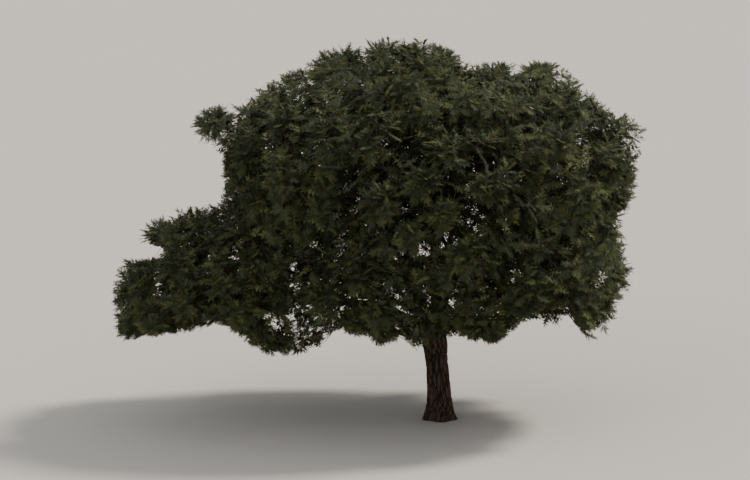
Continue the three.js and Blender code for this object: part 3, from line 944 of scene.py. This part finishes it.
def find_shade_tufts(mass):
    """Where tufts stand in the shade inside a mass, an even space apart and clear of its edges, and
    the ways they face: out from its heart."""
    distances, _ = reach(mass, spread_ways(SHADE_FEELERS, 0))
    steps = np.arange(-distances.max(), distances.max(), SHADE_SPACING)
    grid = np.stack(np.meshgrid(steps, steps, steps), axis=-1).reshape(-1, 3)
    random = np.random.default_rng(SHADE_SEED + mass.number)
    offsets = grid + random.uniform(-SHADE_JITTER, SHADE_JITTER, grid.shape) * SHADE_SPACING
    away = np.linalg.norm(offsets, axis=1)
    ways = offsets / away[:, None]
    distances, edges = reach(mass, ways)
    ends = mass.heart + ways * distances[:, None]
    depth = np.where(is_low(ends, UNDER_BAND), UNDER_SHADE_DEPTH, SHADE_DEPTH)
    grows = distances - away > np.where(edges == OPEN, depth, SHADE_EDGE)
    return (mass.heart + offsets)[grows], ways[grows]


def square_to(ways):
    """Two ways square to each given way and to each other, the first one level."""
    level = unit(np.cross(ways, UP) + np.array([NUDGE, 0, 0]))
    return level, np.cross(level, ways)


def arcs(roots, start_ways, ends, end_ways, pulls, count):
    """Rows of points along arcs that leave their roots one way and reach their ends another."""
    span = np.linalg.norm(ends - roots, axis=1)[:, None]
    leaving = roots + start_ways * span * pulls[0]
    arriving = ends - end_ways * span * pulls[1]
    t = np.linspace(0, 1, count)[None].repeat(len(roots), axis=0)
    return bezier([corner[:, None] for corner in (roots, leaving, arriving, ends)], t)


def grow_branches(mass, random):
    """The branches of a mass: rows of points from its stem towards the open air."""
    ways = mass.branch_ways
    forward = 0.5 + 0.5 * ways @ mass.tip_way
    place = STEM_FORK_SHARE + (1 - STEM_FORK_SHARE) * forward
    roots = mass.tip + (mass.heart - mass.tip) * place[:, None]
    ends = mass.heart + ways * mass.branch_reach * BRANCH_REACH
    start_ways = unit(unit(ends - roots) + BRANCH_SWEEP * mass.tip_way)
    level, steep = square_to(ways)
    bend = random.normal(0, BRANCH_BEND, (len(ways), 2))
    end_ways = unit(ways + level * bend[:, :1] + steep * bend[:, 1:] + UP * BRANCH_SAG)
    return arcs(roots, start_ways, ends, end_ways, BRANCH_PULLS, BRANCH_POINTS)


def grow_twigs(branches, tufts):
    """A twig to each tuft, from the nearest fitting point of a branch, above the browse line."""
    steps = branches[:, 2:].reshape(-1, 3)
    steps_way = unit(np.gradient(branches, axis=1))[:, 2:].reshape(-1, 3)
    away = np.linalg.norm(tufts.foot[:, None] - steps[None], axis=2)
    ahead = ((tufts.foot[:, None] - steps[None]) * tufts.axis[:, None]).sum(axis=2)
    cost = away + np.maximum(TWIG_LEAD - ahead, 0) * TWIG_BACK_COST
    best = cost.argmin(axis=1)
    roots = steps[best]
    start_ways = unit(unit(tufts.foot - roots) + TWIG_SWEEP * steps_way[best])
    paths = arcs(roots, start_ways, tufts.foot, tufts.axis, TWIG_PULLS, TWIG_POINTS)
    lowest = browse_height(paths.reshape(-1, 3)).reshape(paths.shape[:2]) + TWIG_LIFT
    paths[:, 1:-1, 2] = np.maximum(paths, lowest[:, :, None])[:, 1:-1, 2]
    return paths


def fitting_share(tries, count, fits):
    """For each of a number of things the largest share of its size at which it fits, or 0."""
    share = np.zeros(count)
    for tried in tries:
        left = np.nonzero(share == 0)[0]
        share[left[fits(left, tried)]] = tried
    return share


def grow_shoots(mass, twigs, tufts, random):
    """The shoots of every tuft: roots on the twig's last third, ways spread in a dome."""
    count = len(twigs)
    number = np.arange(SHOOTS)
    shares = SHOOT_FOOT + (1 - SHOOT_FOOT) * (1 - number / (SHOOTS - 1)) ** SHOOT_CROWDING
    place = shares * (TWIG_POINTS - 1)
    before = np.minimum(place.astype(int), TWIG_POINTS - 2)
    part = (place - before)[None, :, None]
    roots = twigs[:, before] * (1 - part) + twigs[:, before + 1] * part
    splay = SHOOT_SPLAY * np.sqrt((number + SPLAY_START) / SHOOTS)
    splay = splay * random.uniform(*SPLAY_VARIETY, (count, SHOOTS))
    turn = number * GOLDEN_TURN + random.uniform(0, FULL_TURN, (count, 1))
    turn = turn + random.normal(0, TURN_SCATTER, (count, SHOOTS))
    level, steep = square_to(tufts.axis)
    ways = (
        tufts.axis[:, None] * np.cos(splay)[:, :, None]
        + level[:, None] * (np.sin(splay) * np.cos(turn))[:, :, None]
        + steep[:, None] * (np.sin(splay) * np.sin(turn))[:, :, None]
    )
    length = SHOOT_LENGTH * tufts.size[:, None] * random.uniform(*SHOOT_VARIETY, (count, SHOOTS))

    def fits(which, share):
        whole = (length.reshape(-1)[which] * share + SHOOT_ROOM)[:, None]
        ends = roots.reshape(-1, 3)[which] + ways.reshape(-1, 3)[which] * whole
        return (place_of(mass, ends, SHOOT_MINGLING) == OWN) & clear_of_limbs(ends)

    length = length * fitting_share(SHOOT_TRIES, length.size, fits).reshape(length.shape)
    ends = roots + ways * length[:, :, None]
    paths = np.stack([roots, ends], axis=2)
    grows = (length > 0) & (number < np.where(tufts.shade, SHADE_SHOOTS, SHOOTS)[:, None])
    return paths[grows], np.nonzero(grows)[0]


def twig_material():
    """Smooth young bark: grey-brown, a little reddish, mottled."""
    bark = Shader("young_bark", roughness=0.85, gloss=0.25)
    mottle = bark.noise(bark.own_place(), MOTTLE_SCALE, detail=4)
    bark.link(bark.ramp(mottle, *TWIG_BROWNS), bark.surface["Base Color"])
    return bark.material


def taper(radii, paths):
    """A thickness for each point of each path, from the first radius to the last."""
    steps = np.linspace(radii[0], radii[1], paths.shape[1])
    return steps[None].repeat(len(paths), axis=0)


def make_twigs(mass, tufts):
    """All the wood of a mass as one piece, and its shoots kept for the leaves."""
    random = np.random.default_rng(TWIG_SEED + mass.number)
    branches = grow_branches(mass, random)
    twigs = grow_twigs(branches, tufts)
    mass.shoots, mass.tuft_of_shoot = grow_shoots(mass, twigs, tufts, random)
    mass.random = random
    foot = mass.tip - mass.tip_way * STEM_OVERLAP
    stem = (foot + (mass.heart - foot) * np.linspace(0, 1, STEM_POINTS)[:, None])[None]
    stem_radii = (BOUGH_TIP_RADIUS * STEM_FIT, STEM_TIP_RADIUS)
    meshes = [
        tubes("stem", stem, taper(stem_radii, stem), STEM_SIDES, young_bark),
        tubes("branches", branches, taper(BRANCH_RADII, branches), BRANCH_SIDES, young_bark),
        tubes("twigs", twigs, taper(TWIG_RADII, twigs), TWIG_SIDES, young_bark),
        tubes("shoots", mass.shoots, taper(SHOOT_RADII, mass.shoots), SHOOT_SIDES, young_bark),
    ]
    piece = new_piece("twigs_" + mass.name, joined("twigs_" + mass.name, meshes))
    piece.data.materials.append(young_bark)
    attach(piece, "root")
    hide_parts("foliage_" + mass.name)


young_bark = twig_material()
owners, edge_points, on_open_edge = find_tufts()
for mass in masses:
    find_clumps(mass)
    own = owners == mass.number
    feet, axes = sunlit_tufts(mass, edge_points[own], on_open_edge[own])
    shade_feet, shade_axes = find_shade_tufts(mass)
    shade = np.arange(len(feet) + len(shade_feet)) >= len(feet)
    mass.tufts = SimpleNamespace(
        foot=np.vstack([feet, shade_feet]),
        axis=unit(np.vstack([axes, shade_axes]) + TUFT_LIFT * UP),
        shade=shade,
        size=np.where(shade, SHADE_SIZE, 1),
    )
    make_twigs(mass, mass.tufts)


# The leaves. An acacia's leaf is a feather: pairs of fine side fans on one thin midrib. Here each is
# a few times life size, with one pointed blade to a fan. They stand in two rows along each shoot,
# turn their faces to the light, and are dealt out by shoot in four greens.
LEAF_LENGTH = 0.20
LEAF_PAIRS = 4
SHADE_PAIRS = 3
SHADE_LEAF = 1.8
SHADE_LEAVES_A_SHOOT = 5
BLADE_LENGTH = 0.40
MIDRIB_LENGTH = 0.9
MIDRIB_RISE = 0.10
MIDRIB_DROOP = 0.22
BLADE_RISE = 0.10
BLADE_LEAN = (0.35, 1.10)
END_BLADE_SHARE = 0.72
FULLEST_SHIFT = 0.8
LEAVES_A_SHOOT = 8
FIRST_LEAF_SHARE = 0.16
LEAF_VARIETY = (0.8, 1.12)
LEAF_TRIES = (1, 0.75, 0.5)
LEAF_MINGLING = 0.75
BITE_DEPTH = 0.35
VIEW_PLACE = (-2.1, -185.5, 39.4)
SPECKS = ((-0.5, 5.35), (0.3, 5.68))
SPECK_RADIUS = 0.2
LEAF_SPLAY = 0.95
SPLAY_SCATTER = 0.14
LEAF_LIGHT = np.array([0.15, -0.2, 1.0])
LIGHT_FROM_OUTSIDE = 0.9
LIGHT_ALONG_SHOOT = 0.35
LIGHT_SCATTER = 0.18
FACE_SCATTER = 0.22
LEAF_GREENS = {
    "deep_green_leaf": (0.033, 0.044, 0.016),
    "grey_green_leaf": (0.046, 0.056, 0.027),
    "olive_leaf": (0.062, 0.070, 0.023),
    "fresh_leaf": (0.084, 0.096, 0.031),
}
GREEN_SHARES = (0.34, 0.28, 0.26, 0.12)
GREEN_TONES = (0.82, 1.2)
GREEN_PATCH_SCALE = 1.7


def leaf_shape(name, pairs):
    """One leaf, a metre long on +X with its upper face to +Z: a midrib that arches over, and pairs
    of pointed blades, folded up a little and leaning further forward towards the tip."""
    joints = np.linspace(0, MIDRIB_LENGTH, pairs + 1)
    points = [(x, 0, MIDRIB_RISE * x - MIDRIB_DROOP * x * x) for x in joints]
    faces = []
    for pair in range(pairs):
        middle = (joints[pair] + joints[pair + 1]) / 2
        fullness = math.sin(math.pi * (pair + FULLEST_SHIFT) / pairs)
        length = BLADE_LENGTH * (END_BLADE_SHARE + (1 - END_BLADE_SHARE) * fullness)
        lean = BLADE_LEAN[0] + (BLADE_LEAN[1] - BLADE_LEAN[0]) * (pair / (pairs - 1)) ** 2
        rise = BLADE_RISE * (length - middle)
        for side in (1, -1):
            points.append((middle + length * math.sin(lean), side * length * math.cos(lean), rise))
            corners = (pair, pair + 1, len(points) - 1)
            faces.append(corners if side > 0 else corners[::-1])
    mesh = bpy.data.meshes.new(name)
    mesh.from_pydata(points, [], faces)
    return new_piece(name, mesh)


def leaf_material(name, colour):
    """Fine matt green, a little lighter and darker in soft patches."""
    leaf = Shader(name, roughness=0.72, gloss=0.2)
    patches = leaf.noise(leaf.own_place(), GREEN_PATCH_SCALE, detail=4)
    tones = [tuple(tone * value for value in colour) for tone in GREEN_TONES]
    leaf.link(leaf.ramp(patches, (0.35, tones[0]), (0.65, tones[1])), leaf.surface["Base Color"])
    return leaf.material


def leaf_tree(greens):
    """Geometry nodes: a leaf on every point, laid by the point's ways and painted by its green."""
    inputs = {"Points": "Geometry", "Sun Leaf": "Object", "Shade Leaf": "Object", "Leaf Length": "Float"}
    tree = MeshNodes("leaves_on_shoots", inputs, "Leaves")
    in_shade = tree.told("leaf_in_shade", "BOOLEAN")
    in_sun = tree.node("FunctionNodeBooleanMath", operation="NOT")
    tree.link(in_shade, in_sun.inputs[0])
    turned = tree.node("FunctionNodeAxesToRotation", primary_axis="X", secondary_axis="Z")
    tree.link(tree.told("leaf_way", "FLOAT_VECTOR"), turned.inputs["Primary Axis"])
    tree.link(tree.told("leaf_face", "FLOAT_VECTOR"), turned.inputs["Secondary Axis"])
    sized = tree.node("ShaderNodeMath", operation="MULTIPLY")
    tree.link(tree.told("leaf_size", "FLOAT"), sized.inputs[0])
    tree.link(tree.given["Leaf Length"], sized.inputs[1])
    together = tree.node("GeometryNodeJoinGeometry")
    for title, where in (("Sun Leaf", in_sun.outputs[0]), ("Shade Leaf", in_shade)):
        leaf = tree.node("GeometryNodeObjectInfo")
        placed = tree.node("GeometryNodeInstanceOnPoints")
        tree.link(tree.given[title], leaf.inputs["Object"])
        tree.link(tree.given["Points"], placed.inputs["Points"])
        tree.link(where, placed.inputs["Selection"])
        tree.link(leaf.outputs["Geometry"], placed.inputs["Instance"])
        tree.link(turned.outputs["Rotation"], placed.inputs["Rotation"])
        tree.link(sized.outputs["Value"], placed.inputs["Scale"])
        tree.link(placed.outputs["Instances"], together.inputs["Geometry"])
    realized = tree.node("GeometryNodeRealizeInstances")
    tree.link(together.outputs["Geometry"], realized.inputs["Geometry"])
    painted = realized.outputs["Geometry"]
    for number, green in enumerate(greens):
        chosen = tree.node("FunctionNodeCompare", data_type="INT", operation="EQUAL")
        chosen.inputs[3].default_value = number
        tree.link(tree.told("leaf_green", "INT"), chosen.inputs[2])
        paint = tree.node("GeometryNodeSetMaterial", Material=green)
        tree.link(painted, paint.inputs["Geometry"])
        tree.link(chosen.outputs["Result"], paint.inputs["Selection"])
        painted = paint.outputs["Geometry"]
    tree.link(painted, tree.result)
    return tree.tree


def in_a_speck(points):
    """Whether each point lies where light shows through the crown, seen from the photographed side."""
    tilt = math.atan2(VIEW_PLACE[2], -VIEW_PLACE[1])
    rise = points[:, 2] * math.cos(tilt) + points[:, 1] * math.sin(tilt)
    inside = np.zeros(len(points), dtype=bool)
    for x, height in SPECKS:
        inside |= np.hypot(points[:, 0] - x, rise - height) < SPECK_RADIUS
    return inside


def lay_leaves(mass):
    """Where the leaves of a mass stand: their roots, ways, faces, sizes and greens."""
    random = mass.random
    count = len(mass.shoots)
    number = np.arange(LEAVES_A_SHOOT)
    shares = np.minimum((number + 0.5) / (LEAVES_A_SHOOT - 1), 1)
    shares = FIRST_LEAF_SHARE + (1 - FIRST_LEAF_SHARE) * shares
    feet, ends = mass.shoots[:, None, 0], mass.shoots[:, None, 1]
    roots = feet + (ends - feet) * shares[None, :, None]
    shoot_way = unit(ends - feet)
    outward = mass.tufts.axis[mass.tuft_of_shoot][:, None]
    light = LEAF_LIGHT + LIGHT_FROM_OUTSIDE * outward + LIGHT_ALONG_SHOOT * shoot_way
    light = unit(light + random.normal(0, LIGHT_SCATTER, (count, 1, 3)))
    level = unit(np.cross(light, shoot_way))
    splay = np.where(number == LEAVES_A_SHOOT - 1, 0, LEAF_SPLAY * np.where(number % 2 == 0, 1, -1))
    splay = splay[None] + random.normal(0, SPLAY_SCATTER, (count, LEAVES_A_SHOOT))
    ways = shoot_way * np.cos(splay)[..., None] + level * np.sin(splay)[..., None]
    faces = light + random.normal(0, FACE_SCATTER, ways.shape)
    faces = unit(faces - (faces * ways).sum(axis=2, keepdims=True) * ways)
    shade = mass.tufts.shade[mass.tuft_of_shoot][:, None].repeat(LEAVES_A_SHOOT, axis=1)
    sizes = random.uniform(*LEAF_VARIETY, (count, LEAVES_A_SHOOT)) * np.where(shade, SHADE_LEAF, 1)
    greens = random.choice(len(LEAF_GREENS), count, p=GREEN_SHARES)
    roots, ways, faces = (rows.reshape(-1, 3) for rows in (roots, ways, faces))
    greens = greens.repeat(LEAVES_A_SHOOT)
    shade = shade.reshape(-1)
    sizes = sizes.reshape(-1)
    few = shade & (np.tile(number, count) >= SHADE_LEAVES_A_SHOOT)
    bitten = random.uniform(0, BITE_DEPTH, count).repeat(LEAVES_A_SHOOT)

    def fits(which, share):
        whole = (LEAF_LENGTH * sizes[which] * share)[:, None]
        half = ways[which] * whole / 2
        across = np.cross(faces[which], ways[which]) * BLADE_LENGTH * whole
        fitting = ~few[which]
        for corner in (0 * half, 2 * half, half + across, half - across):
            point = roots[which] + corner
            in_place = (place_of(mass, point, LEAF_MINGLING) == OWN) & ~in_a_speck(point)
            fitting &= in_place & ~is_low(point, bitten[which]) & clear_of_limbs(point)
        return fitting

    sizes = sizes * fitting_share(LEAF_TRIES, len(roots), fits)
    grows = sizes > 0
    return roots[grows], ways[grows], faces[grows], sizes[grows], greens[grows], shade[grows]


def make_leaves(mass):
    """All the leaves of a mass as one piece."""
    roots, ways, faces, sizes, greens, shade = lay_leaves(mass)
    name = "leaves_" + mass.name
    mesh = bpy.data.meshes.new(name)
    mesh.vertices.add(len(roots))
    mesh.vertices.foreach_set("co", roots.reshape(-1))
    tell(mesh, "leaf_way", "FLOAT_VECTOR", ways)
    tell(mesh, "leaf_face", "FLOAT_VECTOR", faces)
    tell(mesh, "leaf_size", "FLOAT", sizes)
    tell(mesh, "leaf_green", "INT", greens.astype(np.int32))
    tell(mesh, "leaf_in_shade", "BOOLEAN", shade)
    points = new_piece(name + "_points", mesh)
    inputs = {"Sun Leaf": sun_leaf, "Shade Leaf": shade_leaf, "Leaf Length": LEAF_LENGTH}
    made = made_by_nodes(points, leaves_on_shoots, inputs)
    made.name = name
    for told in ("leaf_way", "leaf_face", "leaf_size", "leaf_green", "leaf_in_shade"):
        if told in made.attributes:
            made.attributes.remove(made.attributes[told])
    piece = new_piece(name, made)
    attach(piece, "root")
    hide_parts("foliage_" + mass.name)


sun_leaf = leaf_shape("sun_leaf", LEAF_PAIRS)
shade_leaf = leaf_shape("shade_leaf", SHADE_PAIRS)
leaves_on_shoots = leaf_tree([leaf_material(name, colour) for name, colour in LEAF_GREENS.items()])
for mass in masses:
    make_leaves(mass)
bpy.data.objects.remove(sun_leaf)
bpy.data.objects.remove(shade_leaf)


# The stage: a wide, plain, pale floor under soft, even light, with a gentle key light high on the
# right and a little behind, and the camera where the photograph was taken from, on a longer lens.
FLOOR_HALF = 2500
FLOOR_DROP = 0.002
FLOOR_COLOUR = (0.62, 0.58, 0.52)
CLOUD_SCALE = 0.05
CLOUD_TONE = 0.985
VIEW_AIM = (-2.1, 0, 5.9)
LENS = 280


def plain_material(name, colour):
    """A matt surface with the faintest unevenness."""
    plain = Shader(name, roughness=0.95, gloss=0.1)
    cloudy = plain.noise(plain.own_place(), CLOUD_SCALE, detail=2)
    near = tuple(CLOUD_TONE * value for value in colour)
    plain.link(plain.ramp(cloudy, (0.3, near), (0.7, colour)), plain.surface["Base Color"])
    return plain.material


floor_mesh = bpy.data.meshes.new("floor")
floor_corners = [
    (x * FLOOR_HALF, y * FLOOR_HALF, -FLOOR_DROP) for x, y in ((-1, -1), (1, -1), (1, 1), (-1, 1))
]
floor_mesh.from_pydata(floor_corners, [], [(0, 1, 2, 3)])
floor_mesh.materials.append(plain_material("pale_floor", FLOOR_COLOUR))
new_piece("floor", floor_mesh)

studio = bpy.data.worlds.new("studio")
studio.use_nodes = True
background = studio.node_tree.nodes["Background"].inputs
background["Color"].default_value = (0.93, 0.95, 1.0, 1)
background["Strength"].default_value = 0.65
bpy.context.scene.world = studio


def sun(name, way, energy, angle, colour):
    """A soft, far light that shines from a way."""
    light = bpy.data.lights.new(name, "SUN")
    light.energy = energy
    light.angle = angle
    light.color = colour
    shining = bpy.data.objects.new(name, light)
    shining.rotation_mode = "QUATERNION"
    shining.rotation_quaternion = Vector(way).to_track_quat("Z", "Y")
    bpy.context.scene.collection.objects.link(shining)


sun("key", way=(0.64, 0.28, 0.8), energy=3.2, angle=0.22, colour=(1.0, 0.95, 0.88))
sun("fill", way=(-0.5, -0.8, 0.55), energy=0.5, angle=0.6, colour=(0.93, 0.96, 1.0))

camera = bpy.data.cameras.new("camera")
camera.lens = LENS
camera.clip_start = 1
camera.clip_end = 4000
viewer = bpy.data.objects.new("camera", camera)
viewer.location = VIEW_PLACE
viewer.rotation_mode = "QUATERNION"
viewer.rotation_quaternion = (Vector(VIEW_AIM) - Vector(VIEW_PLACE)).to_track_quat("-Z", "Y")
bpy.context.scene.collection.objects.link(viewer)
bpy.context.scene.camera = viewer
